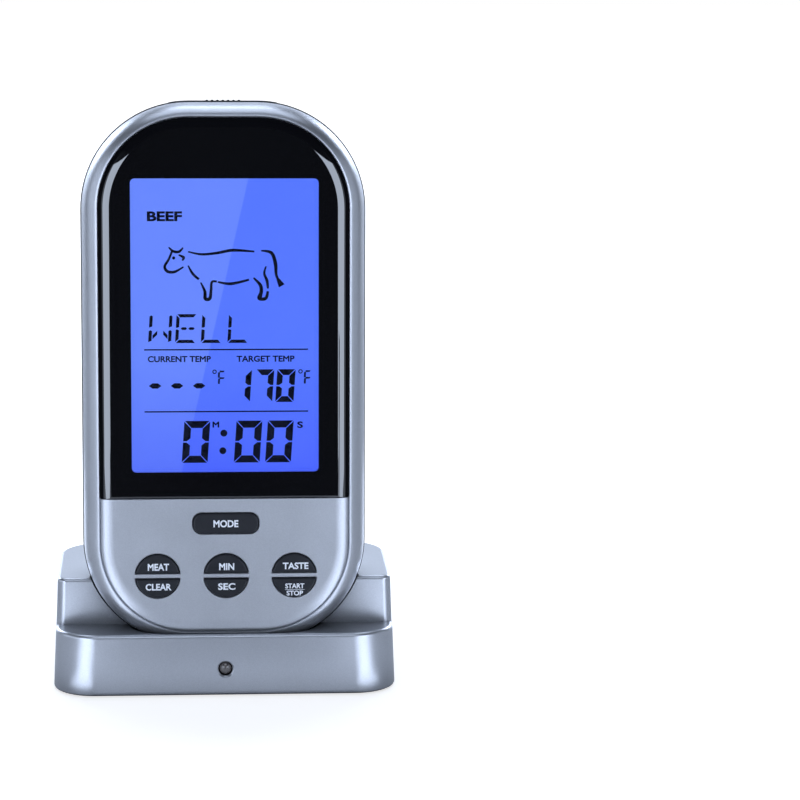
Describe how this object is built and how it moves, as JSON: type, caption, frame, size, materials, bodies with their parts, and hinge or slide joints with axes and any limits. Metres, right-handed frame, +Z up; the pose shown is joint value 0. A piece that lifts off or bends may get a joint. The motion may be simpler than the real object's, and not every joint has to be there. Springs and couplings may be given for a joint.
{
  "type": "meat thermometer",
  "caption": "Wireless cooking thermometer: a rounded handheld receiver with a backlit display and front keys, leaning back in a stepped transmitter dock with a probe socket.",
  "frame": {"origin": "bottom centre of the dock, at the level of its feet", "axes": "+X right seen from the front, -Y front, +Z up"},
  "size_m": [0.078, 0.0466, 0.1338],
  "materials": {
    "silver_shell": "satin",
    "gunmetal_shell": "satin",
    "key_plastic": "satin",
    "window_black": "gloss",
    "lcd_glass": "gloss",
    "light_guide": "satin",
    "circuit_board": "satin",
    "silicone": "matte",
    "foot_rubber": "matte",
    "steel": "satin",
    "brass": "satin",
    "battery_wrap": "gloss",
    "black_plastic": "satin",
    "white_plastic": "satin",
    "led_lens": "gloss"
  },
  "bodies": {
    "dock": {"dock_shell": "silver_shell", "dock_bottom_cover": "black_plastic", "dock_pcb": "circuit_board", "status_led": "led_lens", "probe_jack": "steel", "dock_antenna": "brass", "dock_battery_front": "battery_wrap", "dock_battery_rear": "battery_wrap", "dock_contact_spring": "steel", "dock_contact_plate": "steel", "dock_contact_bridge": "steel", "dock_switch_body": "steel", "rubber_foot_1": "foot_rubber", "rubber_foot_2": "foot_rubber", "rubber_foot_3": "foot_rubber", "rubber_foot_4": "foot_rubber", "dock_screw_1": "steel", "dock_screw_2": "steel", "dock_screw_3": "steel", "dock_screw_4": "steel"},
    "receiver": {"front_shell": "silver_shell", "rear_shell": "gunmetal_shell", "display_window": "window_black", "lcd_glass": "lcd_glass", "lcd_backlight": "light_guide", "receiver_pcb": "circuit_board", "radio_module": "circuit_board", "keypad_mat": "silicone", "zebra_strip": "silicone", "pcb_screw_1": "steel", "pcb_screw_2": "steel", "pcb_screw_3": "steel", "pcb_screw_4": "steel", "clip_pin": "steel", "clip_spring": "steel", "power_switch_body": "steel", "receiver_contact_spring": "steel", "receiver_contact_plate": "steel", "receiver_contact_bridge": "steel", "receiver_antenna": "brass", "receiver_battery_left": "battery_wrap", "receiver_battery_right": "battery_wrap", "reset_switch_body": "black_plastic", "light_switch_body": "black_plastic", "buzzer": "black_plastic", "lcd_holder": "white_plastic"},
    "mode_key": {"mode_key": "key_plastic"},
    "meat_key": {"meat_key": "key_plastic"},
    "clear_key": {"clear_key": "key_plastic"},
    "min_key": {"min_key": "key_plastic"},
    "sec_key": {"sec_key": "key_plastic"},
    "taste_key": {"taste_key": "key_plastic"},
    "start_stop_key": {"start_stop_key": "key_plastic"},
    "light_button": {"light_button": "black_plastic"},
    "receiver_battery_door": {"receiver_battery_door": "gunmetal_shell"},
    "belt_clip": {"belt_clip": "gunmetal_shell"},
    "power_switch_knob": {"power_switch_knob": "black_plastic"},
    "reset_plunger": {"reset_plunger": "black_plastic"},
    "dock_battery_door": {"dock_battery_door": "black_plastic"},
    "dock_switch_knob": {"dock_switch_knob": "black_plastic"}
  },
  "joints": [
    {"name": "receiver_lift", "type": "slide", "parent": "dock", "child": "receiver", "axis": [0, 0.0698, 0.9976], "range_m": [0, 0.04]},
    {"name": "mode_key_press", "type": "slide", "parent": "receiver", "child": "mode_key", "axis": [0, 0.9976, -0.0698], "range_m": [0, 0.0006], "stiffness_N_per_m": 200},
    {"name": "meat_key_press", "type": "slide", "parent": "receiver", "child": "meat_key", "axis": [0, 0.9976, -0.0698], "range_m": [0, 0.0006], "stiffness_N_per_m": 200},
    {"name": "clear_key_press", "type": "slide", "parent": "receiver", "child": "clear_key", "axis": [0, 0.9976, -0.0698], "range_m": [0, 0.0006], "stiffness_N_per_m": 200},
    {"name": "min_key_press", "type": "slide", "parent": "receiver", "child": "min_key", "axis": [0, 0.9976, -0.0698], "range_m": [0, 0.0006], "stiffness_N_per_m": 200},
    {"name": "sec_key_press", "type": "slide", "parent": "receiver", "child": "sec_key", "axis": [0, 0.9976, -0.0698], "range_m": [0, 0.0006], "stiffness_N_per_m": 200},
    {"name": "taste_key_press", "type": "slide", "parent": "receiver", "child": "taste_key", "axis": [0, 0.9976, -0.0698], "range_m": [0, 0.0006], "stiffness_N_per_m": 200},
    {"name": "start_stop_key_press", "type": "slide", "parent": "receiver", "child": "start_stop_key", "axis": [0, 0.9976, -0.0698], "range_m": [0, 0.0006], "stiffness_N_per_m": 200},
    {"name": "light_button_press", "type": "slide", "parent": "receiver", "child": "light_button", "axis": [0, -0.0698, -0.9976], "range_m": [0, 0.0007], "stiffness_N_per_m": 300},
    {"name": "receiver_battery_door_slide", "type": "slide", "parent": "receiver", "child": "receiver_battery_door", "axis": [0, -0.0698, -0.9976], "range_m": [0, 0.003]},
    {"name": "belt_clip_hinge", "type": "hinge", "parent": "receiver", "child": "belt_clip", "pos_m": [0, 0.00441, 0.10413], "axis": [1, 0, 0], "range_deg": [0, 12], "stiffness_Nm_per_rad": 0.02, "springref_deg": -11.46, "deforming": ["clip_spring"]},
    {"name": "power_switch_slide", "type": "slide", "parent": "receiver", "child": "power_switch_knob", "axis": [0, 0.0698, 0.9976], "range_m": [0, 0.0023]},
    {"name": "reset_press", "type": "slide", "parent": "receiver", "child": "reset_plunger", "axis": [0, -0.9976, 0.0698], "range_m": [0, 0.0003], "stiffness_N_per_m": 200},
    {"name": "dock_battery_door_hinge", "type": "hinge", "parent": "dock", "child": "dock_battery_door", "pos_m": [0, 0.0156, 0.0012], "axis": [1, 0, 0], "range_deg": [0, 70]},
    {"name": "dock_switch_slide", "type": "slide", "parent": "dock", "child": "dock_switch_knob", "axis": [1, 0, 0], "range_m": [0, 0.0035]}
  ]
}
